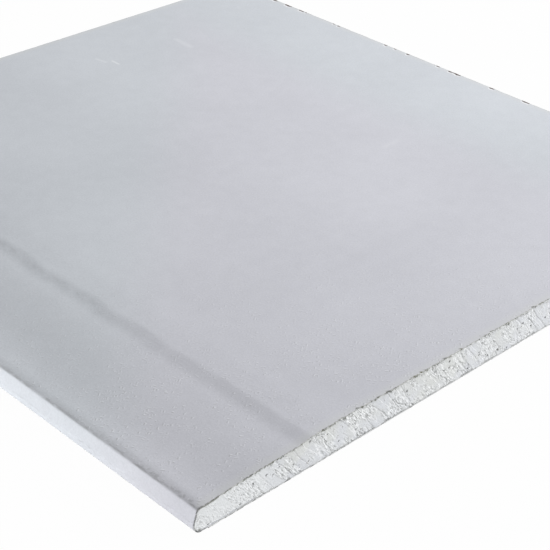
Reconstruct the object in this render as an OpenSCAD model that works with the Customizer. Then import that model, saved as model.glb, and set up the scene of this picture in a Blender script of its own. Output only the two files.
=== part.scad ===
// Drywall sheet: a gypsum core held between two papers, cut from a longer board.
// The face paper covers the top, runs over the tapered edge, wraps round it and
// folds under the core, and the back paper laps over that fold.
// The origin is at the middle of the underside, and +Z is up. Y runs along the
// wrapped edge, which is on the -X side. The other three sides are cut.

/* [Sheet] */
// Width from the wrapped edge to the cut side
sheet_w = 298; // [150:1:1220]
// Length along the wrapped edge
sheet_l = 306; // [100:1:2440]
// Thickness over both papers, away from the taper
sheet_t = 12.7; // [9.5:0.1:15.9]

/* [Papers] */
// Thickness of the face paper
face_paper_t = 0.4; // [0.25:0.05:0.6]
// Thickness of the back paper
back_paper_t = 0.4; // [0.25:0.05:0.6]
// Reach of the face paper's fold under the core, from the wrapped edge
fold_reach = 25; // [16:1:40]
// Margin from the wrapped edge to where the back paper starts
fold_margin = 6; // [4:0.5:12]

/* [Taper] */
// Width of the tapered strip along the wrapped edge
taper_w = 60; // [52:1:75]
// How much lower the face is at the wrapped edge
taper_depth = 2.8; // [1.2:0.1:3.2]
// Radius of the soft bend where the taper starts
taper_r = 150; // [40:10:200]
// Distance from the wrapped edge to the middle of the forming crease
crease_x = 45.5; // [38:0.5:48]
// Width of the forming crease
crease_w = 5.5; // [2:0.5:8]
// How far the face has sunk where it reaches the crease
shoulder_drop = 0.4; // [0.1:0.05:0.6]
// How far the face sinks across the crease
crease_drop = 0.8; // [0.2:0.05:1]
// Radius of the bend on the crease's upper side
crease_top_r = 15; // [5:1:40]
// Radius of the bend on the crease's lower side
crease_foot_r = 30; // [5:1:60]
// Distance from the wrapped edge to where the flatter strip below the crease ends
ledge_x = 29; // [20:1:33]
// How far the face sinks across that strip
ledge_drop = 0.1; // [0:0.05:0.3]
// Radius of the bend where the face steepens again towards the edge
ledge_r = 200; // [50:10:400]

/* [Wrapped edge] */
// How far the top of the edge stands back from its upright band
edge_lean = 1.6; // [0.4:0.1:2.4]
// Height of the middle of the edge's upright band above the underside
belly_z = 3.8; // [3:0.1:5]
// Height of the upright band, where the edge is widest
belly_h = 1.4; // [0.6:0.1:2.4]
// How far the foot of the edge stands back from its upright band
foot_lean = 1.5; // [0.4:0.1:2]
// Outer radius between the taper and the edge
arris_r = 1.6; // [1:0.1:4]
// Outer radius at both sides of the upright band
belly_r = 3.8; // [1:0.2:6]
// Outer radius between the edge and the fold
foot_r = 2.6; // [1:0.1:3]

/* [Hidden] */
// Largest turn between two points of a bend, in degrees
bend_step = 6;
// Fewest steps in a bend
bend_steps_min = 4;
core_colour = "#e6e6e1";
face_colour = "#c3c7cc";
back_colour = "#a49c8f";
crease_top_z = sheet_t - shoulder_drop;
crease_foot_z = crease_top_z - crease_drop;

// Corners of the face paper's outer side, each a point in X and Z with its bend
// radius. X is measured from the wrapped edge. They run from the cut side over
// the top, round the wrapped edge and along the fold, with the core on the left.
face_corners = [
    [[sheet_w, sheet_t], 0],
    [[taper_w, sheet_t], taper_r],
    [[crease_x + crease_w / 2, crease_top_z], crease_top_r],
    [[crease_x - crease_w / 2, crease_foot_z], crease_foot_r],
    [[ledge_x, crease_foot_z - ledge_drop], ledge_r],
    [[edge_lean, sheet_t - taper_depth], arris_r],
    [[0, belly_z + belly_h / 2], belly_r],
    [[0, belly_z - belly_h / 2], belly_r],
    [[foot_lean, back_paper_t], foot_r],
    [[fold_reach, back_paper_t], 0]
];

function heading(a, b) = (b - a) / norm(b - a);

function to_left(v) = [-v[1], v[0]];

function turned(v, angle) = [
    v[0] * cos(angle) - v[1] * sin(angle),
    v[0] * sin(angle) + v[1] * cos(angle)
];

// Angle from direction u to direction v, positive to the left
function turn(u, v) = atan2(cross(u, v), u * v);

// Direction in which the path arrives at corner i, and in which it leaves
function arriving(corners, i) = heading(corners[max(i, 1) - 1][0], corners[max(i, 1)][0]);

function leaving(corners, i) = arriving(corners, min(i + 1, len(corners) - 1));

// Same corners, with each bend kept within half of the sides that it joins
function fitted(corners) = [
    corners[0],
    for (i = [1 : len(corners) - 2])
        let (
            half_turn = abs(turn(arriving(corners, i), leaving(corners, i))) / 2,
            before = norm(corners[i][0] - corners[i - 1][0]),
            after = norm(corners[i + 1][0] - corners[i][0]),
            room = min(before, after) / 2
        )
        [corners[i][0], min(corners[i][1], room / tan(half_turn))],
    corners[len(corners) - 1]
];

// Same path, moved to its left by a distance
function inset(corners, distance) = [
    for (i = [0 : len(corners) - 1])
        let (
            u = arriving(corners, i),
            v = leaving(corners, i),
            side = sign(turn(u, v))
        )
        [
            corners[i][0] + distance * to_left(u + v) / (1 + u * v),
            max(corners[i][1] - side * distance, 0)
        ]
];

// Points of the bend at corner i
function bend(corners, i) =
    let (
        u = arriving(corners, i),
        radius = corners[i][1],
        angle = turn(u, leaving(corners, i)),
        start = corners[i][0] - u * radius * tan(abs(angle) / 2),
        centre = start + to_left(u) * sign(angle) * radius,
        steps = max(bend_steps_min, ceil(abs(angle) / bend_step))
    )
    [for (k = [0 : steps]) centre + turned(start - centre, angle * k / steps)];

// Points of a whole path, from its first corner to its last
function outline(corners) = [
    corners[0][0],
    for (i = [1 : len(corners) - 2]) each bend(corners, i),
    corners[len(corners) - 1][0]
];

function reversed(points) = [for (i = [len(points) - 1 : -1 : 0]) points[i]];

face_outer = outline(fitted(face_corners));
face_inner = outline(inset(fitted(face_corners), face_paper_t));

// Section drawn in X from the wrapped edge and Z, run along the whole sheet
module run_along_sheet(section) {
    translate([-sheet_w / 2, 0, 0])
        rotate([90, 0, 0])
            linear_extrude(height = sheet_l, center = true)
                polygon(section);
}

// White gypsum, filling all that the two papers leave
module gypsum_core() {
    color(core_colour)
        run_along_sheet(concat(
            face_inner,
            [[fold_reach, back_paper_t], [sheet_w, back_paper_t]]
        ));
}

// Light grey paper over the face, round the wrapped edge and under the core
module face_paper() {
    color(face_colour)
        run_along_sheet(concat(face_outer, reversed(face_inner)));
}

// Liner on the underside, lapped over the fold of the face paper
module back_paper() {
    color(back_colour)
        translate([fold_margin - sheet_w / 2, -sheet_l / 2, 0])
            cube([sheet_w - fold_margin, sheet_l, back_paper_t]);
}

gypsum_core();
face_paper();
back_paper();
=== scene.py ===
import math

import bmesh
import bpy
import numpy as np
from mathutils import Matrix, Vector


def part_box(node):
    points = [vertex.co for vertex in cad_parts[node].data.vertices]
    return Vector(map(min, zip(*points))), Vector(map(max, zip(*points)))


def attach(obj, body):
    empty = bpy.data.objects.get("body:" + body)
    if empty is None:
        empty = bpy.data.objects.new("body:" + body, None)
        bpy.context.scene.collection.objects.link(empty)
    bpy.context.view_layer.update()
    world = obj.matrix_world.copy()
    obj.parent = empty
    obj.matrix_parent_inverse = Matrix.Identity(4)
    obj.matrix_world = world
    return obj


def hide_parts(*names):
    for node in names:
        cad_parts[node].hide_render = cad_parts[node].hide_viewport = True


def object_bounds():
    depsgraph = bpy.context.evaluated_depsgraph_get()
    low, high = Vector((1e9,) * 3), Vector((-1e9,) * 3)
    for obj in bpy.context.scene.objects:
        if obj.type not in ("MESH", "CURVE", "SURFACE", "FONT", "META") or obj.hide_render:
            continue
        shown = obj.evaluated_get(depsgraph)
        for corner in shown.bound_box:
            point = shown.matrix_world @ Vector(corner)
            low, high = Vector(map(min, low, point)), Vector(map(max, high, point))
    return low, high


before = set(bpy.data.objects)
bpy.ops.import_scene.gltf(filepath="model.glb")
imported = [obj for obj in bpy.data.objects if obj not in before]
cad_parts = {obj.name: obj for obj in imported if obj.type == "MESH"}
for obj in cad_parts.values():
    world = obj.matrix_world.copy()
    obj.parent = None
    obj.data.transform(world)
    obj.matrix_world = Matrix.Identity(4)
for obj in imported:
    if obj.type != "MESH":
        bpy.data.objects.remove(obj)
cad_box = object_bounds()
MM = 0.001


# Gypsum core: white set gypsum, cast wet between the two papers and dried in one
# slab. Three of its sides were cut out of a longer board, which leaves slanted
# tool marks, air pits and a crumbled lip under the face paper.
class Wire:
    """A value that runs through a node tree, so that maths on it reads as Python."""

    def __init__(self, graph, socket):
        self.graph = graph
        self.socket = socket

    def also(self, name):
        """Another output of the same node."""
        return Wire(self.graph, self.socket.node.outputs[name])

    def __add__(self, other):
        return self.graph.maths("ADD", self, other)

    def __radd__(self, other):
        return self.graph.maths("ADD", other, self)

    def __sub__(self, other):
        return self.graph.maths("SUBTRACT", self, other)

    def __rsub__(self, other):
        return self.graph.maths("SUBTRACT", other, self)

    def __mul__(self, other):
        return self.graph.maths("MULTIPLY", self, other)

    def __rmul__(self, other):
        return self.graph.maths("MULTIPLY", other, self)

    def __truediv__(self, other):
        return self.graph.maths("DIVIDE", self, other)

    def __rtruediv__(self, other):
        return self.graph.maths("DIVIDE", other, self)


class Graph:
    """A shader or geometry tree, built one node at a time."""

    def __init__(self, tree):
        self.tree = tree
        self.tree.nodes.clear()
        shades = tree.bl_idname == "ShaderNodeTree"
        self.split_colour = "ShaderNodeSeparateColor" if shades else "FunctionNodeSeparateColor"

    def add(self, kind, settings=None, inputs=None, output=0):
        node = self.tree.nodes.new(kind)
        for name, value in (settings or {}).items():
            setattr(node, name, value)
        for name, value in (inputs or {}).items():
            if isinstance(value, Wire):
                self.tree.links.new(value.socket, node.inputs[name])
            else:
                node.inputs[name].default_value = value
        return Wire(self, node.outputs[output]) if node.outputs else node

    def maths(self, operation, *values):
        return self.add("ShaderNodeMath", {"operation": operation}, dict(enumerate(values)))

    def scaled(self, vector, factor):
        return self.add("ShaderNodeVectorMath", {"operation": "SCALE"}, {0: vector, "Scale": factor})

    def millimetres(self):
        return self.scaled(self.add("ShaderNodeTexCoord", output="Object"), 1 / MM)

    def painted(self, name):
        """Value that was stored on the mesh under a name."""
        return self.add("ShaderNodeAttribute", {"attribute_name": name}, output="Fac")

    def joined(self, x, y, z):
        return self.add("ShaderNodeCombineXYZ", None, {"X": x, "Y": y, "Z": z})

    def split(self, vector):
        """X of a vector, with its Y and Z as further outputs."""
        return self.add("ShaderNodeSeparateXYZ", None, {"Vector": vector})

    def noise(self, at, detail=2.0, roughness=0.5):
        inputs = {"Vector": at, "Scale": 1.0, "Detail": detail, "Roughness": roughness}
        return self.add("ShaderNodeTexNoise", None, inputs)

    def ramp(self, value, low, high):
        """0 at low, 1 at high and smooth between them."""
        return self.add(
            "ShaderNodeMapRange", {"interpolation_type": "SMOOTHSTEP"},
            {"Value": value, "From Min": low, "From Max": high},
        )

    def fade(self, value, low, high):
        """1 at low, 0 at high and smooth between them."""
        return 1 - self.ramp(value, low, high)

    def mix(self, factor, first, second, blend="MIX"):
        settings = {"data_type": "RGBA", "blend_type": blend}
        return self.add("ShaderNodeMix", settings, {0: factor, 6: first, 7: second}, output=2)


same_place = 0.001 * MM


def section_of(node):
    """Outline of a CAD node's near end, as points in X and Z in order round it."""
    solid = bmesh.new()
    solid.from_mesh(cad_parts[node].data)
    bmesh.ops.remove_doubles(solid, verts=solid.verts, dist=same_place)
    near = min(v.co.y for v in solid.verts)
    on_end = {v for v in solid.verts if v.co.y - near < same_place}
    ends = [face for face in solid.faces if on_end.issuperset(face.verts)]
    neighbours = {}
    for edge in solid.edges:
        if sum(face in ends for face in edge.link_faces) == 1:
            a, b = edge.verts
            neighbours.setdefault(a, []).append(b)
            neighbours.setdefault(b, []).append(a)
    start = max(neighbours, key=lambda v: (v.co.x, v.co.z))
    following = min(neighbours[start], key=lambda v: v.co.x)
    loop = [start, following]
    while True:
        a, b = neighbours[loop[-1]]
        onward = b if a is loop[-2] else a
        if onward is start:
            break
        loop.append(onward)
    points = [(v.co.x, v.co.z) for v in loop]
    solid.free()
    return points


def heights_at(outline, x):
    """Lowest and highest Z of an outline at one X."""
    slack = 1e-9
    found = []
    for (xa, za), (xb, zb) in zip(outline, outline[1:] + outline[:1]):
        if min(xa, xb) - slack <= x <= max(xa, xb) + slack:
            if abs(xb - xa) < slack:
                found += [za, zb]
            else:
                found.append(za + (zb - za) * min(max((x - xa) / (xb - xa), 0), 1))
    return min(found), max(found)


def gaps_to(line, points):
    """Distance from each of some points to the nearest place on a line."""
    starts, ends = np.array(line[:-1]), np.array(line[1:])
    steps = ends - starts
    offsets = np.array(points)[:, None] - starts
    shares = np.clip((offsets * steps).sum(2) / (steps ** 2).sum(1), 0, 1)
    return np.linalg.norm(offsets - shares[..., None] * steps, axis=2).min(1)


def plain_mesh(piece):
    """Puts a piece's finished mesh in place of its modifiers."""
    bpy.context.view_layer.update()
    depsgraph = bpy.context.evaluated_depsgraph_get()
    finished = bpy.data.meshes.new_from_object(piece.evaluated_get(depsgraph))
    piece.modifiers.clear()
    piece.data = finished
    return piece


def new_object(name, data):
    made = bpy.data.objects.new(name, data)
    bpy.context.scene.collection.objects.link(made)
    return made


def paint(mesh, name, values, vectors=False):
    """Stores a value for each vertex of a mesh under a name."""
    kind, field = ("FLOAT_VECTOR", "vector") if vectors else ("FLOAT", "value")
    layer = mesh.attributes.new(name, kind, "POINT")
    layer.data.foreach_set(field, np.array(values, np.float32).ravel())


def grown(name, graph, base, values):
    """Piece that a geometry tree makes from a base mesh, with its named inputs set."""
    piece = new_object(name, base)
    modifier = piece.modifiers.new(name, "NODES")
    modifier.node_group = graph.tree
    for item in graph.tree.interface.items_tree:
        if item.in_out == "INPUT" and item.name in values:
            modifier[item.identifier] = values[item.name]
    return plain_mesh(piece)


def geometry_graph(name, sizes, corners=()):
    """Geometry tree with a mesh and a material input, and one for each size and corner."""
    tree = bpy.data.node_groups.new(name, "GeometryNodeTree")
    sockets = [("Mesh", "Geometry"), ("Material", "Material")]
    sockets += [(size, "Float") for size in sizes] + [(corner, "Vector") for corner in corners]
    for socket, kind in sockets:
        tree.interface.new_socket(socket, in_out="INPUT", socket_type="NodeSocket" + kind)
    tree.interface.new_socket("Mesh", in_out="OUTPUT", socket_type="NodeSocketGeometry")
    graph = Graph(tree)
    return graph, graph.add("NodeGroupInput")


def finish_geometry(graph, given, mesh, corners=()):
    """Ends a tree with a real mesh, kept between two of its given corners, and its material."""
    real = graph.add("GeometryNodeRealizeInstances", None, {"Geometry": mesh})
    if corners:
        place = graph.add("GeometryNodeInputPosition")
        for operation, corner in zip(("MAXIMUM", "MINIMUM"), corners):
            place = graph.add(
                "ShaderNodeVectorMath", {"operation": operation}, {0: place, 1: given.also(corner)}
            )
        real = graph.add("GeometryNodeSetPosition", None, {"Geometry": real, "Position": place})
    finished = graph.add(
        "GeometryNodeSetMaterial", None, {"Geometry": real, "Material": given.also("Material")}
    )
    graph.add("NodeGroupOutput", None, {"Mesh": finished})


def new_material(name):
    material = bpy.data.materials.new(name)
    material.use_nodes = True
    return material, Graph(material.node_tree)


def finish_material(graph, settings):
    shader = graph.add("ShaderNodeBsdfPrincipled", None, settings)
    graph.add("ShaderNodeOutputMaterial", None, {"Surface": shader})


def named_value(graph, name, data_type="FLOAT"):
    return graph.add("GeometryNodeInputNamedAttribute", {"data_type": data_type}, {"Name": name})


core_grid = 0.37 * MM
core_rows = 32
nose_width = 3 * MM
nose_columns = 14
core_outline = section_of("gypsum_core")
core_low, core_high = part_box("gypsum_core")
core_xs = [core_low.x + nose_width * (i / nose_columns) ** 2 for i in range(nose_columns)]
flat_columns = round((core_high.x - core_low.x - nose_width) / core_grid)
core_xs += list(np.linspace(core_low.x + nose_width, core_high.x, flat_columns + 1))
core_ys = np.linspace(core_low.y, core_high.y, round((core_high.y - core_low.y) / core_grid) + 1)
foot_height = 0.45 * MM
foot = next(i for i, (x, z) in enumerate(core_outline) if z - core_low.z < foot_height)
papered_line = core_outline[:foot + 1]


def core_columns():
    """Place, outward direction and run of each upright column round the three cut sides."""
    across = core_high.x - core_low.x
    along = core_high.y - core_low.y
    corner = (math.sqrt(0.5), math.sqrt(0.5))
    columns = [((x, core_low.y), (0, -1), x - core_low.x) for x in core_xs[:-1]]
    columns.append(((core_high.x, core_low.y), (corner[0], -corner[1]), across))
    columns += [((core_high.x, y), (1, 0), across + y - core_low.y) for y in core_ys[1:-1]]
    columns.append(((core_high.x, core_high.y), corner, across + along))
    columns += [
        ((x, core_high.y), (0, 1), across + along + core_high.x - x)
        for x in reversed(core_xs[:-1])
    ]
    return columns


def core_mesh():
    """Closed core with a fine grid on its cut sides and long strips under the papers."""
    columns = core_columns()
    mesh = bmesh.new()
    grid, outward, run, from_paper, over_back = [], [], [], [], []
    for (x, y), out, distance in columns:
        low, high = heights_at(core_outline, x)
        heights = np.linspace(low, high, core_rows + 1)
        grid.append([mesh.verts.new((x, y, z)) for z in heights])
        outward += [(out[0], out[1], 0)] * (core_rows + 1)
        run += [distance] * (core_rows + 1)
        from_paper += list(gaps_to(papered_line, [(x, z) for z in heights]))
        over_back += list(heights - low)
    for left, right in zip(grid, grid[1:]):
        for row in range(core_rows):
            mesh.faces.new((left[row], right[row], right[row + 1], left[row + 1]))
    end = len(core_xs)
    near, side, far = grid[:end], grid[end - 1:-end + 1], grid[:-end - 1:-1]
    for row in range(core_rows):
        mesh.faces.new((near[0][row + 1], far[0][row + 1], far[0][row], near[0][row]))
    for i in range(end - 2):
        mesh.faces.new((near[i][-1], near[i + 1][-1], far[i + 1][-1], far[i][-1]))
        mesh.faces.new((far[i][0], far[i + 1][0], near[i + 1][0], near[i][0]))
    mesh.faces.new([near[-2][-1]] + [column[-1] for column in side] + [far[-2][-1]])
    mesh.faces.new([far[-2][0]] + [column[0] for column in reversed(side)] + [near[-2][0]])
    bmesh.ops.recalc_face_normals(mesh, faces=mesh.faces)
    made = bpy.data.meshes.new("gypsum_core_cut")
    mesh.to_mesh(made)
    mesh.free()
    paint(made, "cut_outward", outward, vectors=True)
    paint(made, "cut_run", run)
    paint(made, "from_paper", from_paper)
    paint(made, "over_back", over_back)
    return made


stroke_slant = math.radians(50)
chip_width = 1.25
chip_length = 4.5


def strokes(graph, run, height):
    """Places across and along the slanted tool strokes of a cut face, in millimetres."""
    bend_length, bend_reach = 12, 1.3
    bend = graph.noise(graph.joined(run / bend_length, height / bend_length, 3.1)) * bend_reach
    across = run * math.sin(stroke_slant) + height * math.cos(stroke_slant) + bend
    along = height * math.sin(stroke_slant) - run * math.cos(stroke_slant)
    return across, along


def torn_patches(graph, run, across, along):
    """1 where the tool tore the gypsum into a rough cluster, 0 on the smooth facets.

    The tool ran smoothest by the nose, and left the deepest clusters past the taper.
    """
    broad = graph.noise(graph.joined(across / 4.0, along / 13, 5.7), detail=1)
    strength = 0.4 + 0.6 * graph.ramp(run, 12, 34) - 0.25 * graph.ramp(run, 108, 126)
    return graph.ramp(broad, 0.43, 0.55) * strength


def ribs(graph, across, along):
    """Slow wave whose middle level is crossed at the long edges between the facets."""
    return graph.noise(graph.joined(across / 2.6, along / 26, 8.4), detail=0)


def cells(graph, across, along, width, length, feature="F1"):
    """Long cells that lie along the strokes."""
    return graph.add(
        "ShaderNodeTexVoronoi", {"feature": feature, "voronoi_dimensions": "2D"},
        {"Vector": graph.joined(across / width, along / length, 0.0), "Scale": 1.0}, output="Distance",
    )


def draws_of(graph, cell):
    """Random levels that each cell has for itself, from 0 to 1."""
    return graph.add(graph.split_colour, None, {"Color": cell.also("Color")})


def grooves(graph, across, along, reach):
    """1 in the grooves between chips, 0 on the chips."""
    gap = cells(graph, across, along, chip_width, chip_length, "DISTANCE_TO_EDGE")
    return graph.fade(gap, 0.02, reach)


def pits(graph, run, height):
    """1 in the middle of an air pit, 0 outside, for the few cells that hold one."""
    pit_spacing, pit_share = 2.7, 0.13
    cell = cells(graph, run, height, pit_spacing, pit_spacing)
    draws = draws_of(graph, cell)
    holds = graph.maths("LESS_THAN", draws, pit_share)
    radius = 0.07 + draws.also("Green") * 0.14
    return holds * graph.fade(cell, radius * 0.4, radius)


def rim_blots(graph, axes, rise):
    """1 on the dark spots that straggle along the face paper's cut rim: torn plies on the paper, and
    painted shadow under its lip on the gypsum.

    rise is how far a place lies over the middle of the rim, as seen from the front.
    """
    place = axes + axes.also("Y")
    from_nose = axes - core_low.x / MM
    straying = 0.7 + 2.7 * graph.ramp(from_nose, 28, 58)
    stray = graph.noise(graph.joined(place / 2.0, 0.5, 3.3), detail=2, roughness=0.6)
    level = (stray - 0.5) * straying - 0.36
    breaks = graph.noise(graph.joined(place / 1.3, 0.5, 8.7), detail=3, roughness=0.65)
    kept = 0.43 + 0.05 * graph.ramp(from_nose, 8, 20) + 0.05 * graph.ramp(from_nose, 95, 120)
    spot = graph.fade(graph.maths("ABSOLUTE", rise - level), 0.22, 0.68)
    return spot * graph.ramp(breaks - kept, 0.0, 0.08)


relief, given = geometry_graph("cut_relief", [
    "Base recess", "Scoop depth", "Facet step", "Chip depth", "Groove depth", "Stroke depth",
    "Pit depth", "Lip depth", "Lip height", "Clean edge",
])
relief_run = named_value(relief, "cut_run") / MM
relief_axes = relief.split(relief.add("GeometryNodeInputPosition"))
relief_height = relief_axes.also("Z") / MM
across, along = strokes(relief, relief_run, relief_height)
torn = torn_patches(relief, relief_run, across, along)
chip = draws_of(relief, cells(relief, across, along, chip_width, chip_length))
scratch = relief.noise(relief.joined(across / 0.8, along / 2.6, 0.0), detail=3, roughness=0.6)
facet_step = relief.ramp(ribs(relief, across, along), 0.47, 0.53)
scoop = relief.noise(relief.joined(relief_run / 6, relief_height / 7, 9.3), detail=2)
crumble = relief.noise(relief.joined(relief_run / 1.9, 0.5, 1.9), detail=3, roughness=0.65)
crumbled = relief.ramp(crumble, 0.42, 0.62)
past_clean = relief.ramp(relief_axes - given.also("Clean edge"), 0.0, 15 * MM)
under_top = relief.fade(named_value(relief, "from_paper"), 0.0, given.also("Lip height"))
depth = (
    given.also("Base recess")
    + scoop * given.also("Scoop depth")
    + facet_step * (0.3 + 0.7 * relief.ramp(relief_run, 20, 40)) * given.also("Facet step")
    + torn * chip * given.also("Chip depth")
    + (0.08 + 0.92 * torn) * grooves(relief, across, along, reach=0.3) * given.also("Groove depth")
    + (0.06 + 0.94 * torn) * scratch * given.also("Stroke depth")
    + pits(relief, relief_run, relief_height) * given.also("Pit depth")
    + past_clean * crumbled * under_top * given.also("Lip depth")
)
moved = relief.add("GeometryNodeSetPosition", None, {
    "Geometry": given.also("Mesh"),
    "Offset": relief.scaled(named_value(relief, "cut_outward", "FLOAT_VECTOR"), 0 - depth),
})
finish_geometry(relief, given, moved)

gypsum, graph = new_material("set_gypsum")
run = graph.painted("cut_run") / MM
in_mm = graph.millimetres()
axes = graph.split(in_mm)
height = axes.also("Z")
across, along = strokes(graph, run, height)
torn = torn_patches(graph, run, across, along)
chip = draws_of(graph, cells(graph, across, along, chip_width, chip_length))
scratch = graph.noise(graph.joined(across / 0.55, along / 2.0, 2.0), detail=2, roughness=0.6)
grain = graph.noise(graph.scaled(in_mm, 1 / 0.45), detail=3, roughness=0.7)
patches = graph.noise(graph.joined(run / 12, height / 9, 4.4), detail=1)
# Smooth facets, with grooves and long ribs between them and torn clusters over them; painted shade in
# the grooves, on the rib steps and along the strokes, with painted highlights beside them
chalk = graph.mix(
    graph.ramp(patches, 0.35, 0.65), (0.630, 0.645, 0.672, 1), (0.633, 0.645, 0.636, 1)
)
clean_cut = graph.mix(graph.ramp(run, 22, 42), (0.696, 0.712, 0.722, 1), chalk)
# Torn clusters painted lighter, offsetting the shade their own relief casts on them
torn_lightened = graph.mix(torn * 0.6, clean_cut, (0.77, 0.785, 0.79, 1))
facets = graph.mix(chip * 0.14 * torn, torn_lightened, (0.56, 0.57, 0.59, 1))
rib = ribs(graph, across, along)
from_rib = graph.maths("ABSOLUTE", rib - 0.5)
rib_edge = graph.fade(from_rib, 0.004, 0.03) * graph.fade(scratch, 0.44, 0.54)
rib_flank = graph.ramp(rib, 0.52, 0.54) * graph.fade(rib, 0.56, 0.60)
rib_shine = rib_flank * graph.ramp(scratch, 0.40, 0.52)
past_nose = 0.25 + 0.75 * graph.ramp(run, 18, 42)
# Painted shade in the grooves between chips
groove_shade = grooves(graph, across, along, reach=0.13) * (0.05 + 0.4 * torn)
lined = graph.mix(
    groove_shade * graph.fade(scratch, 0.42, 0.62), facets, (0.34, 0.345, 0.34, 1)
)
# Painted shade along each rib step; its lit flank gets a painted highlight further down
rib_step_shaded = graph.mix(rib_edge * past_nose * 0.55, lined, (0.30, 0.305, 0.30, 1))
# Painted shade along one side of the tool strokes
stroke_shaded = graph.mix(
    graph.fade(scratch, 0.35, 0.42) * (0.05 + 0.75 * torn), rib_step_shaded, (0.27, 0.275, 0.275, 1)
)
# Painted highlights beside the strokes and on the lit flank of each rib step
stroke_highlights = graph.ramp(scratch, 0.56, 0.64) * (0.05 + 0.70 * torn)
stroke_highlighted = graph.mix(
    graph.maths("MAXIMUM", stroke_highlights, rib_shine * past_nose * 0.5), stroke_shaded, (0.93, 0.94, 0.95, 1)
)
speckled = graph.mix(graph.ramp(grain, 0.60, 0.74) * 0.4, stroke_highlighted, (0.90, 0.91, 0.92, 1))
# Painted shade in the air pits
pit_shaded = graph.mix(pits(graph, run, height) * 0.8, speckled, (0.20, 0.20, 0.19, 1))
# Along the rims of both papers: painted shadow under the face paper's lip, a darker band below it, and
# dark dashes just over the back paper
dashes = graph.noise(graph.joined(run / 1.3, height / 3, 6.0), detail=3, roughness=0.65)
from_paper = graph.painted("from_paper") / MM
over_back = graph.painted("over_back") / MM
# Painted shadow under the face paper's lip, in dark spots and a thin band
shaded_rim = graph.fade(from_paper, 0.05, 0.40) * 0.45
lip_shadow = graph.maths("MAXIMUM", rim_blots(graph, axes, -0.2 - from_paper), shaded_rim)
under_rim = graph.fade(from_paper, 0.3, 2.6) * past_nose
dusky = graph.mix(under_rim * 0.14, pit_shaded, (0.36, 0.365, 0.33, 1))
lip_shadowed = graph.mix(lip_shadow * 0.9, dusky, (0.17, 0.176, 0.15, 1))
over_foot = graph.fade(over_back, 0.0, 0.20) * graph.fade(dashes, 0.38, 0.48)
scuffed = over_foot * (0.32 - 0.22 * graph.ramp(run, 48, 72))
finish_material(graph, {
    "Base Color": graph.mix(scuffed, lip_shadowed, (0.27, 0.275, 0.27, 1)),
    "Roughness": 0.9,
    "Specular IOR Level": 0.25,
    "Normal": graph.add("ShaderNodeBump", None, {
        "Strength": 1.0, "Distance": MM,
        "Height": scratch * (0.05 + 0.47 * torn) + grain * 0.11,
    }),
})

gypsum_core = grown("gypsum_core_cut", relief, core_mesh(), {
    "Material": gypsum,
    "Base recess": 0.04 * MM,
    "Scoop depth": 0.12 * MM,
    "Facet step": 0.14 * MM,
    "Chip depth": 0.10 * MM,
    "Groove depth": 0.13 * MM,
    "Stroke depth": 0.20 * MM,
    "Pit depth": 0.6 * MM,
    "Lip depth": 0.6 * MM,
    "Lip height": 0.9 * MM,
    "Clean edge": core_low.x + 14 * MM,
})
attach(gypsum_core, "root")
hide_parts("gypsum_core")


# Face paper: light grey liner that is glued to the core by the gypsum itself. It
# covers the front, dips at the forming crease into the taper, wraps round the
# long edge and folds under. The knife left its cut rims slightly ragged.
class Wander:
    """Smooth random line, from 0 to 1, with a seed of its own."""

    knot_count = 4096

    def __init__(self, seed, spacing):
        self.knots = np.random.default_rng(seed).random(self.knot_count)
        self.spacing = spacing

    def __call__(self, at):
        steps = np.asarray(at, float) / self.spacing
        whole = np.floor(steps).astype(int)
        part = steps - whole
        part = part * part * (3 - 2 * part)
        before, after = self.knots[whole % self.knot_count], self.knots[(whole + 1) % self.knot_count]
        return before * (1 - part) + after * part


def spread(start, end, spacing):
    """Evenly spaced values from start to end, with the end left out."""
    return list(np.linspace(start, end, max(1, round(abs(end - start) / spacing)), endpoint=False))


def stitched(mesh, outer, inner):
    """Faces between two closed rows of vertices, each paired with its turn round the sheet."""
    a = outer + [(outer[0][0], outer[0][1] + 4)]
    b = inner + [(inner[0][0], inner[0][1] + 4)]
    i = j = 0
    while i < len(a) - 1 or j < len(b) - 1:
        step_outer = j == len(b) - 1 or (i < len(a) - 1 and a[i + 1][1] <= b[j + 1][1])
        if step_outer:
            corners = (a[i][0], a[i + 1][0], b[j][0])
            i += 1
        else:
            corners = (a[i][0], b[j + 1][0], b[j][0])
            j += 1
        mesh.faces.new(corners)


def ring(width, length, inset, spacing):
    """Points round a sheet, inset from its rim, each with its turn from 0 to 4."""
    points = []
    for side in range(4):
        reach = (width, length)[side % 2]
        for distance in spread(0, reach, spacing):
            if distance > 0 and not inset < distance < reach - inset:
                continue
            place = max(distance, inset)
            flat = (
                (place, inset), (width - inset, place),
                (width - place, length - inset), (inset, length - place),
            )
            points.append((flat[side], side + distance / reach))
    return points


rim_band = 2.0 * MM
rim_rings = ((0.0, True), (1.2 * MM, False))
rim_corner = math.radians(50)


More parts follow.
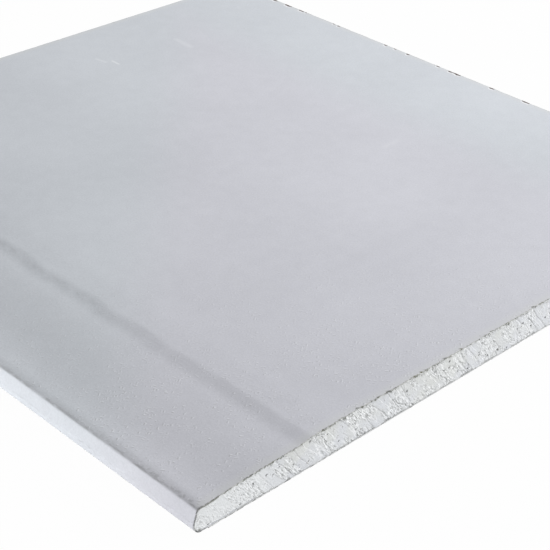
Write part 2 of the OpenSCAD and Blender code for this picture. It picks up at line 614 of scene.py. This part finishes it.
def liner_mesh(name, columns, rows, placed, values, spacing):
    """Paper drawn on its flat sheet as a grid with a finer rim, then put in place.

    placed gives the place of a flat point, worn or not, and values its painted
    values by name.
    """
    width, length = columns[-1], rows[-1]
    mesh = bmesh.new()
    painted = []

    def vertex(run, along, worn=False):
        painted.append(values(run, along))
        return mesh.verts.new(placed(run, along, worn))

    rings = []
    for inset, worn in rim_rings:
        points = ring(width, length, inset, spacing)
        rings.append([(vertex(*point, worn), turn) for point, turn in points])
    clear = 1.1 * rim_band
    xs = [rim_band] + [x for x in columns if clear < x < width - clear] + [width - rim_band]
    ys = [rim_band] + [y for y in rows if clear < y < length - clear] + [length - rim_band]
    field = [[vertex(x, y) for x in xs] for y in ys]
    for low, high in zip(field, field[1:]):
        for i in range(len(xs) - 1):
            mesh.faces.new((low[i], low[i + 1], high[i + 1], high[i]))
    sides = (
        (field[0][:-1], xs[:-1], width),
        ([row[-1] for row in field[:-1]], ys[:-1], length),
        (field[-1][:0:-1], [width - x for x in xs[:0:-1]], width),
        ([row[0] for row in field[:0:-1]], [length - y for y in ys[:0:-1]], length),
    )
    border = [
        (vertex_here, side + (place / reach if i else 0))
        for side, (row, places, reach) in enumerate(sides)
        for i, (vertex_here, place) in enumerate(zip(row, places))
    ]
    stitched(mesh, rings[0], rings[1])
    stitched(mesh, rings[1], border)
    made = bpy.data.meshes.new(name)
    mesh.to_mesh(made)
    mesh.free()
    for value_name in painted[0]:
        paint(made, value_name, [row[value_name] for row in painted])
    return made


def thickened(name, mesh, thickness, materials):
    """Closed paper of one thickness, with its second material on the cut rim."""
    for material in materials:
        mesh.materials.append(material)
    mesh.polygons.foreach_set("use_smooth", [True] * len(mesh.polygons))
    piece = new_object(name, mesh)
    wall = piece.modifiers.new("thickness", "SOLIDIFY")
    wall.thickness = thickness
    wall.offset = -1
    wall.material_offset_rim = 1
    plain_mesh(piece)
    piece.data.set_sharp_from_angle(angle=rim_corner)
    return piece


def finer(points, spacing):
    """The same line with points added where two lie further apart than the spacing."""
    made = []
    for (xa, za), (xb, zb) in zip(points, points[1:]):
        count = max(1, math.ceil(math.dist((xa, za), (xb, zb)) / spacing - 1e-6))
        made += [(xa + (xb - xa) * i / count, za + (zb - za) * i / count) for i in range(count)]
    return made + [points[-1]]


face_outline = section_of("face_paper")
fold_floor = min(z for x, z in face_outline)
fold_end = max(i for i, (x, z) in enumerate(face_outline) if z - fold_floor < same_place)
face_path = face_outline[fold_end::-1]
paper_low, paper_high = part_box("face_paper")
face_thickness = paper_high.z - core_high.z
crease_at = paper_low.x + 45.5 * MM
over_fold = fold_floor + 5 * MM
crease_lead = 1.5 * MM
crease_reach = 11 * MM
crease_step = 0.5 * MM
crease_sway = 1.6 * MM
crease_shake = 0.7 * MM
crease_dark_above = 0.7 * MM
crease_dark_below = 1.9 * MM
paper_step = 2.5 * MM
arris_reach = 3 * MM
top_path = [
    (x, z) for x, z in face_path
    if z > paper_high.z - arris_reach and x > paper_low.x + arris_reach
]
top_xs, top_zs = np.array(top_path).T


def top_at(x):
    """Height of the face's outer side at one X."""
    return float(np.interp(x, top_xs, top_zs))


def face_columns():
    """Points across the paper, from its folded rim round the wrapped edge to the cut side."""
    points = finer(face_path, paper_step)
    on_top = [p for p in points if p[1] > over_fold]
    start = min(p[0] for p in on_top if p[0] > crease_at - crease_reach)
    end = max(p[0] for p in on_top if p[0] < crease_at + crease_reach)
    before = [p for p in points if p not in on_top or p[0] < start]
    after = [p for p in on_top if p[0] > end]
    crease = [(x, top_at(x)) for x in spread(start, end, crease_step) + [end]]
    return before + crease + after


face_line = face_columns()
face_runs = np.concatenate([
    [0.0], np.cumsum([math.dist(a, b) for a, b in zip(face_line, face_line[1:])])
])
face_width = float(face_runs[-1])
face_xs, face_zs = np.array(face_line).T
arris_lean = 1.6 * MM
taper_depth = 2.8 * MM
arris_x, arris_z = paper_low.x + arris_lean, paper_high.z - taper_depth
arris_run = float(face_runs[np.argmin(np.hypot(face_xs - arris_x, face_zs - arris_z))])
sheet_length = paper_high.y - paper_low.y
face_row_step = 2 * MM
face_rows = spread(0, sheet_length, face_row_step) + [sheet_length]
face_rim_step = 0.42 * MM
crease_wander = Wander(11, 14 * MM)
crease_shiver = Wander(12, 4 * MM)
tufts = Wander(21, 0.75 * MM)
tears = Wander(22, 2.6 * MM)
tuft_depth = 0.25 * MM
tear_depth = 0.8 * MM
near_shift, far_shift, side_shift = 0.0, 0.7, 1.4
far_wear = 0.4


def frayed(distance, shift):
    """How far a cut rim stands back at a distance along it, with a shift for each rim."""
    place = distance + shift
    return tufts(place) ** 3 * tuft_depth + tears(place) ** 9 * tear_depth


def sway_at(y):
    """How far the crease strays from its line."""
    return (crease_wander(y) - 0.5) * crease_sway + (crease_shiver(y) - 0.5) * crease_shake


corner_reach = 3 * MM
nose_reach = 12 * MM
nose_blend = 20 * MM
nose_wear = 0.08


def blunted(distance, reach):
    """0 at a corner of the rim, rising to 1 along it, so that corners stay whole."""
    return min(distance / reach, 1)


def on_face(run, along, worn):
    """Place of a point of the flat sheet on the bent paper, with its rim worn back."""
    if worn:
        x_here = float(np.interp(run, face_runs, face_xs))
        past_nose = min(max((x_here - paper_low.x - nose_reach) / nose_blend, nose_wear), 1)
        whole = blunted(face_width - run, corner_reach)
        if along < rim_band / 2:
            moved_in = frayed(x_here, near_shift) * past_nose * whole
        elif along > sheet_length - rim_band / 2:
            moved_in = -frayed(x_here, far_shift) * far_wear * past_nose * whole
        else:
            moved_in = 0.0
        if run > face_width - rim_band / 2:
            to_corner = min(along, sheet_length - along)
            run -= frayed(along, side_shift) * far_wear * blunted(to_corner, corner_reach)
        along += moved_in
    x = float(np.interp(run, face_runs, face_xs))
    z = float(np.interp(run, face_runs, face_zs))
    y = paper_low.y + along
    near_crease = 1 - min(abs(x - crease_at) / crease_reach, 1)
    if near_crease > 0 and z > over_fold:
        z = top_at(x + (sway_at(y) - crease_lead) * min(near_crease * 1.6, 1))
    return x, y, z


def face_values(run, along):
    """Painted values of the face paper at a point of the flat sheet."""
    x = float(np.interp(run, face_runs, face_xs))
    # The crease's painted shade is darkest just above its middle and fades faster upward
    in_crease = x + sway_at(paper_low.y + along) - crease_at - 1.4 * crease_lead
    upper = math.exp(-max(in_crease, 0) ** 2 / (2 * crease_dark_above ** 2))
    lower = math.exp(-min(in_crease, 0) ** 2 / (2 * crease_dark_below ** 2))
    on_top = run > arris_run
    arris_width = (0.55 if on_top else 0.25) * MM
    return {
        "rim_distance": min(along, sheet_length - along, face_width - run),
        "crease_shade_mask": min(upper, lower) if on_top else 0.0,
        "arris": math.exp(-(run - arris_run) ** 2 / (2 * arris_width ** 2)),
    }


def blotches(graph, size, shift=0.0, **settings):
    """Noise with blotches of about one size in millimetres, and a shift for each pattern."""
    at = graph.add("ShaderNodeMapping", None, {
        "Vector": graph.millimetres(), "Location": (shift,) * 3, "Scale": (1 / size,) * 3,
    })
    return graph.noise(at, **settings)


def yellowed(graph, size=9):
    """1 where torn paper is browner, 0 where it is greyer."""
    return graph.ramp(blotches(graph, size, shift=2.0, detail=2), 0.46, 0.62)


face_paper_material, graph = new_material("face_paper")
axes = graph.split(graph.millimetres())
# The paper's own grey, from broad clouds to single fibres
clouds = blotches(graph, 60, shift=3.0, detail=3)
mottle = blotches(graph, 6, shift=8.0, detail=3, roughness=0.6)
fibres = blotches(graph, 0.75, shift=5.0, detail=3, roughness=0.75)
tone = 0.5 + (clouds - 0.5) * 0.6 + (mottle - 0.5) * 0.35 + (fibres - 0.5) * 1.1
grey = graph.mix(graph.ramp(tone, 0.0, 1.0), (0.500, 0.504, 0.544, 1), (0.604, 0.609, 0.654, 1))
# Soft bands of painted light and painted shade, a cool tint and rim dust, placed from the wrapped edge
# and the near end
from_edge = axes - paper_low.x / MM
from_end = axes.also("Y") - paper_low.y / MM
on_top = graph.ramp(axes.also("Z"), 9.7, 10.05)
cool = graph.maths(
    "MAXIMUM", graph.ramp(from_end - from_edge, 10, 65), graph.ramp(from_edge, 222, 265)
)
cooled = graph.mix(cool, grey, (0.966, 1.0, 0.985, 1), blend="MULTIPLY")
near_corner = graph.fade(from_end, 5, 75)
over_crease = graph.ramp(from_edge, 49, 52) * graph.fade(from_edge, 58, 74)
mid_length = graph.ramp(from_end, 70, 120) * graph.fade(from_end, 190, 235)
rolled_foot = graph.fade(axes.also("Z"), 1.2, 4.2)
# Painted light on the shoulder by the arris, past the crease, in a patch at mid length and on the
# rolled foot
painted_lightening = (
    on_top * graph.fade(from_edge, 3, 15) * 0.08
    + over_crease * (0.035 - 0.03 * graph.ramp(from_end, 80, 115))
    + graph.ramp(from_edge, 190, 230) * mid_length * 0.018
    + rolled_foot * 0.11
)
# Painted shade on the shoulder just inside the arris, stronger by the near corner
painted_shoulder_shade = on_top * graph.fade(from_edge, 2, 7) * (0.10 + 0.06 * near_corner)
# Painted shade across the taper, weaker in a band near the near end
near_end_band = graph.ramp(from_end, 28, 50) * graph.fade(from_end, 72, 105)
painted_taper_shade = graph.ramp(from_edge, 8, 22) * graph.fade(from_edge, 34, 45) * (
    0.05 - 0.035 * near_end_band + 0.025 * graph.ramp(from_end, 95, 130)
)
kinks = graph.noise(graph.joined(axes.also("Y") / 3.5, axes / 2.5, 6.6), detail=2)
# Painted shade in the forming crease, broken up by noise
painted_crease_shade = graph.painted("crease_shade_mask") * graph.ramp(kinks, 0.25, 0.75) * (
    0.04 - 0.06 * near_end_band + 0.08 * graph.ramp(from_end, 75, 125)
)
rim_distance = graph.painted("rim_distance") / MM
dusted = graph.mix(
    graph.fade(rim_distance, 0.6, 4.2) * on_top * 0.5, cooled, (0.580, 0.590, 0.590, 1)
)
toned = graph.scaled(dusted, 1 + painted_lightening - painted_shoulder_shade - painted_taper_shade - painted_crease_shade)


def lint(turn, shift, aside=0.0):
    """Short fibres that all lie one way, or, shifted aside, the place of their painted shadow."""
    u = axes * math.cos(turn) + axes.also("Y") * math.sin(turn) + aside
    v = axes.also("Y") * math.cos(turn) - axes * math.sin(turn)
    return graph.noise(graph.joined(u / 0.5, v / 2.2, shift), detail=1)


# Lint from handling, thickest by the near corner, painted as light fibres with a painted shadow beside
# each
handled = on_top * graph.ramp(blotches(graph, 8, shift=6.0), 0.36, 0.56) * (
    1 - graph.ramp(from_end + from_edge * 0.6, 25, 190) * 0.85
)
lifted = graph.ramp(graph.maths("MAXIMUM", lint(0.5, 1.0), lint(-0.9, 2.0)), 0.65, 0.71)
shaded = graph.ramp(graph.maths("MAXIMUM", lint(0.5, 1.0, 0.5), lint(-0.9, 2.0, 0.5)), 0.65, 0.72)
lint_highlighted = graph.mix(lifted * handled * 0.44, toned, (0.86, 0.87, 0.90, 1))
lint_shadowed = graph.mix(shaded * handled * 0.40, lint_highlighted, (0.22, 0.22, 0.22, 1))
# Dark line on the arris, partly dirt and partly painted shade of the bend, and a dark line on the
# nose's cut rim
smudge = graph.noise(graph.joined(axes / 1.5, axes.also("Y") / 4, axes.also("Z") / 1.5), detail=3)
knots = graph.ramp(blotches(graph, 1.3, shift=9.0, detail=2), 0.53, 0.61)
by_arris = on_top * graph.fade(from_edge, 2.4, 4.5) * near_corner
# Painted shade along the arris bend mixed with dirt, strongest by the near corner
arris_shade_and_dirt = (
    graph.painted("arris") * (0.55 + 0.45 * graph.fade(smudge, 0.42, 0.58)) + by_arris * knots * 0.55
)
arris_shaded_and_soiled = graph.mix(arris_shade_and_dirt * (0.48 + 0.10 * near_corner), lint_shadowed, (0.13, 0.13, 0.125, 1))
round_nose = graph.fade(rim_distance, 0.10, 0.55) * graph.fade(from_edge, 3, 6)
inked = graph.mix(round_nose * graph.fade(smudge, 0.44, 0.62) * 0.55, arris_shaded_and_soiled, (0.13, 0.13, 0.13, 1))
# Torn plies along the cut rims, and splits by the cut side
plucked = rim_blots(graph, axes, 0.2 + rim_distance * 0.6) * on_top
inner_ply = graph.mix(yellowed(graph), (0.20, 0.206, 0.20, 1), (0.17, 0.173, 0.12, 1))
by_cut_side = graph.ramp(from_edge, 284, 292)
parting = graph.noise(graph.joined((from_end + 5) / 5, 0.5, 2.2), detail=3)
splits = graph.ramp(parting, 0.56, 0.60) * by_cut_side
into_split = rim_distance - (parting - 0.57) * 6
curled = splits * graph.ramp(into_split, 0.6, 0.9) * graph.fade(into_split, 1.3, 1.9)
paled = graph.mix(curled * 0.5, inked, (0.86, 0.87, 0.88, 1))
hairline = graph.fade(rim_distance, 0.1, 0.5) * by_cut_side * graph.ramp(smudge, 0.40, 0.56)
lined = graph.mix(hairline * 0.4, paled, (0.24, 0.22, 0.21, 1))
split = graph.mix(splits * graph.fade(into_split, 0.45, 0.75), lined, (0.12, 0.095, 0.095, 1))


def scuff(start, end, width):
    """1 on a straight mark between two points, in millimetres from the face's near corner."""
    step = Vector(end) - Vector(start)
    x, y = from_edge - start[0], from_end - start[1]
    share = (x * step.x + y * step.y) / step.length_squared
    share = graph.maths("MINIMUM", graph.maths("MAXIMUM", share, 0.0), 1.0)
    aside, ahead = x - share * step.x, y - share * step.y
    return graph.fade(graph.maths("SQRT", aside * aside + ahead * ahead), 0.0, width)


scuffs = (
    scuff((185.2, 268.8), (185.2, 264.2), 1.0) * 0.4
    + scuff((181.0, 275.5), (182.0, 270.0), 1.3) * 0.2
    + scuff((225.0, 268.7), (224.5, 257.8), 2.4) * 0.14
    + scuff((215.9, 122.3), (224.0, 122.8), 2.6) * 0.10
)
scuffed = graph.mix(scuffs, split, (0.84, 0.85, 0.86, 1))
finish_material(graph, {
    "Base Color": graph.mix(plucked * (1 - by_cut_side) * 0.85, scuffed, inner_ply),
    "Roughness": 0.82,
    "Specular IOR Level": 0.3,
    "Normal": graph.add("ShaderNodeBump", None, {
        "Strength": 0.6, "Distance": 0.1 * MM, "Height": fibres * 0.8 + mottle * 0.4 - plucked * 0.5,
    }),
})


def finish_torn(graph, colour):
    """Ends the material of a cut or broken surface, which is duller than any skin."""
    finish_material(graph, {"Base Color": colour, "Roughness": 0.95, "Specular IOR Level": 0.2})


cut_paper, graph = new_material("cut_paper_edge")
axes = graph.split(graph.millimetres())
plies = blotches(graph, 1.2, detail=3, roughness=0.7)
crisp = graph.mix(graph.ramp(plies, 0.42, 0.60), (0.085, 0.087, 0.085, 1), (0.42, 0.425, 0.42, 1))
brown = graph.mix(yellowed(graph), (0.11, 0.115, 0.108, 1), (0.13, 0.133, 0.082, 1))
pale = graph.mix(plies, (0.50, 0.51, 0.49, 1), (0.40, 0.41, 0.39, 1))
pulpy = graph.mix(rim_blots(graph, axes, 0.0), pale, brown)
from_edge = axes - paper_low.x / MM
unfolded = graph.mix(graph.ramp(from_edge, 5, 14), crisp, pulpy)
folded = graph.fade(axes.also("Z"), 0.9, 2.2) * graph.ramp(from_edge, 3, 6) * 0.8
finish_torn(graph, graph.mix(folded, unfolded, graph.mix(0.7, crisp, (0.66, 0.67, 0.67, 1))))

face_sheet = liner_mesh(
    "face_paper_wrap", list(face_runs), face_rows, on_face, face_values, face_rim_step
)
face_paper = thickened("face_paper_wrap", face_sheet, face_thickness, [face_paper_material, cut_paper])
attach(face_paper, "root")
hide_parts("face_paper")


# Back paper: coarser grey-brown liner, flat under the whole core. Its long edge
# laps over the fold of the face paper and is glued there, short of the rounded edge.
back_low, back_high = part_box("back_paper")
back_width = back_high.x - back_low.x
back_thickness = back_high.z - back_low.z
back_step = 6 * MM
back_rim_step = 0.6 * MM
back_wear = 0.3


def on_back(run, along, worn):
    """Place of a point of the flat sheet on the underside, with its rim worn back."""
    if worn:
        if along < rim_band / 2:
            along += frayed(run, 2.1) * back_wear
        if along > sheet_length - rim_band / 2:
            along -= frayed(run, 2.8) * back_wear
        if run < rim_band / 2:
            run += frayed(along, 3.5) * back_wear
    return back_high.x - run, back_low.y + along, back_low.z


def back_values(run, along):
    """Painted values of the back paper at a point of the flat sheet."""
    return {"rim_distance": min(along, sheet_length - along, run)}


back_paper_material, graph = new_material("back_paper")
flecks = blotches(graph, 1.6, shift=4.0, detail=3, roughness=0.7)
clouds = blotches(graph, 40, shift=1.0, detail=2)
brown = graph.mix(
    graph.ramp(flecks * 0.6 + clouds * 0.4, 0.35, 0.65), (0.34, 0.30, 0.25, 1), (0.44, 0.40, 0.34, 1)
)
dusty = graph.fade(graph.painted("rim_distance") / MM, 0.6, 1.6)
finish_material(graph, {
    "Base Color": graph.mix(dusty, brown, (0.46, 0.46, 0.455, 1)),
    "Roughness": 0.9,
    "Specular IOR Level": 0.25,
    "Normal": graph.add("ShaderNodeBump", None, {
        "Strength": 0.5, "Distance": 0.1 * MM, "Height": flecks,
    }),
})

cut_liner, graph = new_material("cut_liner_edge")
plies = blotches(graph, 1.3, detail=3, roughness=0.7)
from_edge = graph.split(graph.millimetres()) - core_low.x / MM
chalked = plies + graph.ramp(from_edge, 48, 72) * 0.07 - graph.fade(from_edge, 22, 34) * 0.03
finish_torn(graph, graph.mix(
    graph.ramp(chalked, 0.38, 0.52), (0.25, 0.254, 0.254, 1), (0.66, 0.67, 0.67, 1)
))
back_columns = spread(0, back_width, back_step) + [back_width]
back_rows = spread(0, sheet_length, back_step) + [sheet_length]
back_sheet = liner_mesh(
    "back_paper_liner", back_columns, back_rows, on_back, back_values, back_rim_step
)
back_paper = thickened("back_paper_liner", back_sheet, back_thickness, [back_paper_material, cut_liner])
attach(back_paper, "root")
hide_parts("back_paper")


# Paper fibres: stiff tufts of grey-brown pulp that the blade pulled out of the
# face paper's cut rims. They stay rooted in the paper and curl over the gypsum.
fibre_spacing = 0.6 * MM
fibre_share = 0.7
nose_clear = 20 * MM
root_depth = face_thickness * 0.6
limits = ("Low corner", "High corner")


def fibre_roots():
    """Loose points along the three cut rims, with the outward direction at each."""
    roots = []
    for x in spread(paper_low.x + nose_clear, paper_high.x, fibre_spacing):
        z = top_at(x) - root_depth
        roots.append(((x, paper_low.y + frayed(x, near_shift), z), (0, -1, 0)))
        roots.append(((x, paper_high.y - frayed(x, far_shift) * far_wear, z), (0, 1, 0)))
    for y in spread(paper_low.y, paper_high.y, fibre_spacing):
        x = paper_high.x - frayed(y - paper_low.y, side_shift) * far_wear
        roots.append(((x, y, paper_high.z - root_depth), (1, 0, 0)))
    kept = np.random.default_rng(31).random(len(roots)) < fibre_share
    roots = [root for root, keep in zip(roots, kept) if keep]
    made = bpy.data.meshes.new("fibre_roots")
    made.from_pydata([place for place, out in roots], [], [])
    paint(made, "outward", [out for place, out in roots], vectors=True)
    return made


def random_vector(graph, low, high, seed):
    return graph.add(
        "FunctionNodeRandomValue", {"data_type": "FLOAT_VECTOR"}, {0: low, 1: high, "Seed": seed}
    )


def random_size(graph, low, high, seed):
    return graph.add(
        "FunctionNodeRandomValue", {"data_type": "FLOAT"}, {2: low, 3: high, "Seed": seed}, output=1
    )


tuft, given = geometry_graph("paper_tufts", ["Shortest", "Longest", "Slenderness"], limits)
spine = tuft.add("GeometryNodeCurvePrimitiveBezierSegment", None, {
    "Resolution": 4, "Start": (0, 0, 0), "Start Handle": (0.1, 0, 0.35),
    "End Handle": (0.3, 0.1, 0.65), "End": (0.55, 0.2, 0.9),
})
along_spine = tuft.add("GeometryNodeSplineParameter")
tuft_section = tuft.add(
    "GeometryNodeCurvePrimitiveCircle", None, {"Resolution": 3, "Radius": given.also("Slenderness")}
)
one_tuft = tuft.add("GeometryNodeCurveToMesh", None, {
    "Curve": spine, "Profile Curve": tuft_section, "Scale": 1 - along_spine * 0.7, "Fill Caps": True,
})
leaning = random_vector(tuft, (-1.0, -1.0, -0.8), (1.0, 1.0, 0.15), seed=5)
direction = tuft.add("ShaderNodeVectorMath", {"operation": "ADD"}, {
    0: tuft.scaled(named_value(tuft, "outward", "FLOAT_VECTOR"), 0.5), 1: leaning,
})
tuft_length = random_size(tuft, given.also("Shortest"), given.also("Longest"), seed=6)
tufts_placed = tuft.add("GeometryNodeInstanceOnPoints", None, {
    "Points": given.also("Mesh"), "Instance": one_tuft, "Scale": tuft_length,
    "Rotation": tuft.add("FunctionNodeAlignRotationToVector", {"axis": "Z"}, {"Vector": direction}),
})
finish_geometry(tuft, given, tufts_placed, limits)

pulp, graph = new_material("paper_pulp")
bleached = blotches(graph, 1.2, shift=6.0, detail=1)
dull = graph.mix(yellowed(graph, 7), (0.28, 0.288, 0.275, 1), (0.27, 0.273, 0.19, 1))
finish_torn(graph, graph.mix(graph.ramp(bleached, 0.40, 0.54), dull, (0.62, 0.63, 0.62, 1)))

fibres = grown("paper_fibres", tuft, fibre_roots(), {
    "Material": pulp,
    "Shortest": 0.4 * MM,
    "Longest": 1.5 * MM,
    "Slenderness": 0.09,
    "Low corner": paper_low,
    "High corner": paper_high,
})
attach(fibres, "root")


# Gypsum crumbs: grains that broke off under the blade and stick to the cut sides.
# They are the core's own gypsum, half sunk in its dust.
crumb, given = geometry_graph(
    "gypsum_crumbs", ["Smallest", "Largest", "Grains to the square metre"], limits
)
facing = crumb.add("ShaderNodeVectorMath", {"operation": "DOT_PRODUCT"}, {
    0: named_value(crumb, "cut_outward", "FLOAT_VECTOR"), 1: crumb.add("GeometryNodeInputNormal"),
}, output=1)
scattered = crumb.add("GeometryNodeDistributePointsOnFaces", None, {
    "Mesh": given.also("Mesh"), "Selection": crumb.maths("GREATER_THAN", facing, 0.5),
    "Density": given.also("Grains to the square metre"), "Seed": 4,
})
grain_size = random_size(crumb, given.also("Smallest"), given.also("Largest"), seed=7)
grain_shape = random_vector(crumb, (0.6, 0.6, 0.6), (1.2, 1.2, 1.2), seed=8)
grain_turn = random_vector(crumb, (0.0, 0.0, 0.0), (6.28, 6.28, 6.28), seed=9)
one_grain = crumb.add("GeometryNodeMeshIcoSphere", None, {"Radius": 1.0, "Subdivisions": 1})
grains = crumb.add("GeometryNodeInstanceOnPoints", None, {
    "Points": scattered, "Instance": one_grain, "Rotation": grain_turn,
    "Scale": crumb.scaled(grain_shape, grain_size),
})
finish_geometry(crumb, given, grains, limits)

loose_gypsum, graph = new_material("loose_gypsum")
dusted = blotches(graph, 1.5, detail=2)
finish_torn(graph, graph.mix(
    graph.ramp(dusted, 0.35, 0.65), (0.66, 0.66, 0.64, 1), (0.84, 0.84, 0.84, 1)
))

crumbs = grown("gypsum_crumbs", crumb, gypsum_core.data.copy(), {
    "Material": loose_gypsum,
    "Smallest": 0.08 * MM,
    "Largest": 0.30 * MM,
    "Grains to the square metre": 250000.0,
    "Low corner": core_low,
    "High corner": core_high,
})
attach(crumbs, "root")


# Studio: a plain pale floor, a low key lamp and an overhead box beyond the cut
# side, and low glowing strips and panels that light the wrapped edge and near end.
key_power = 84.5
overhead_power = 6.7
edge_strip_power = 0.338
end_panel_power = 1.5
world_power = 0.2
floor_white = 0.985


def seen_rays(graph):
    """1 for what the camera sees, straight or by reflection, and 0 for plain light."""
    path = graph.add("ShaderNodeLightPath", output="Is Camera Ray")
    seen = graph.maths("MAXIMUM", path, path.also("Is Glossy Ray"))
    return graph.maths("MAXIMUM", seen, path.also("Is Transmission Ray"))


def emission_seen(graph, surface, share):
    """The surface itself, with a share of plain white where it is seen."""
    white = graph.add("ShaderNodeEmission", None, {"Color": (1, 1, 1, 1), "Strength": 1.0})
    return graph.add("ShaderNodeMixShader", None, {0: seen_rays(graph) * share, 1: surface, 2: white})


floor_material, graph = new_material("pale_floor")
matte = graph.add("ShaderNodeBsdfDiffuse", None, {"Color": (0.4, 0.4, 0.4, 1)})
graph.add("ShaderNodeOutputMaterial", None, {"Surface": emission_seen(graph, matte, floor_white)})
floor_reach = 3.0
floor_gap = 0.05 * MM
floor_mesh = bpy.data.meshes.new("floor")
floor_mesh.from_pydata(
    [(x * floor_reach, y * floor_reach, -floor_gap) for x, y in ((-1, -1), (1, -1), (1, 1), (-1, 1))],
    [], [(0, 1, 2, 3)],
)
floor_mesh.materials.append(floor_material)
floor = new_object("floor", floor_mesh)

world = bpy.data.worlds.new("studio")
world.use_nodes = True
bpy.context.scene.world = world
graph = Graph(world.node_tree)
ambient = graph.add(
    "ShaderNodeBackground", None, {"Color": (0.97, 0.98, 1.0, 1), "Strength": world_power}
)
backdrop = graph.add("ShaderNodeBackground", None, {"Color": (1, 1, 1, 1), "Strength": 1.0})
graph.add("ShaderNodeOutputWorld", None, {
    "Surface": graph.add("ShaderNodeMixShader", None, {0: seen_rays(graph), 1: ambient, 2: backdrop}),
})


def soft_lamp(name, place, target, size, power):
    """Rectangular lamp that faces its target and that no camera sees."""
    data = bpy.data.lights.new(name, "AREA")
    data.shape = "RECTANGLE"
    data.size, data.size_y = size
    data.energy = power
    lamp = new_object(name, data)
    lamp.location = place
    lamp.rotation_euler = (Vector(target) - Vector(place)).to_track_quat("-Z", "Y").to_euler()
    lamp.visible_camera = False


def floor_panel(name, low, high, power):
    """Glowing panel that lies on the floor between two corners."""
    middle = ((low[0] + high[0]) / 2, (low[1] + high[1]) / 2)
    size = (high[0] - low[0], high[1] - low[1])
    soft_lamp(name, (*middle, floor_gap), (*middle, 1.0), size, power * size[0] * size[1])


sheet_low, sheet_high = cad_box
soft_lamp("key", place=(2.1, -2.1, 1.1), target=(0, 0, 0), size=(0.8, 0.6), power=key_power)
soft_lamp(
    "overhead", place=(0.45, 0.02, 0.9), target=(0.45, 0.02, 0), size=(0.5, 0.5), power=overhead_power
)
strip_gap = 0.08
strip_height = 9 * MM
strip_start, strip_end = sheet_low.y - 0.02, sheet_high.y + 0.2
strip_x = sheet_low.x - strip_gap
strip_place = (strip_x, (strip_start + strip_end) / 2, strip_height / 2)
soft_lamp(
    "edge_strip", strip_place, (0, strip_place[1], strip_place[2]),
    (strip_end - strip_start, strip_height), edge_strip_power,
)
panel_reach = 0.4
panel_margin = 0.1
floor_panel(
    "end_panel", (sheet_low.x - panel_margin, sheet_low.y - panel_reach),
    (sheet_high.x + panel_margin, sheet_low.y), end_panel_power,
)

camera_data = bpy.data.cameras.new("camera")
camera = new_object("camera", camera_data)
bpy.context.scene.camera = camera
picture_width = 550
focal_pixels = 1554.72
camera_place = (-0.38401, -0.42278, 0.31101)
camera_data.sensor_width = 36
camera_data.lens = focal_pixels / picture_width * camera_data.sensor_width
heading, dip, roll = (math.radians(angle) for angle in (44.646, 31.41, 1.543))
forward = Vector((
    math.sin(heading) * math.cos(dip), math.cos(heading) * math.cos(dip), -math.sin(dip)
))
level = Vector((math.cos(heading), -math.sin(heading), 0))
upright = level.cross(forward)
right = level * math.cos(roll) + upright * math.sin(roll)
up = upright * math.cos(roll) - level * math.sin(roll)
turned = Matrix((right, up, -forward)).transposed()
camera.matrix_world = Matrix.Translation(camera_place) @ turned.to_4x4()

bpy.context.scene.view_settings.view_transform = "Standard"
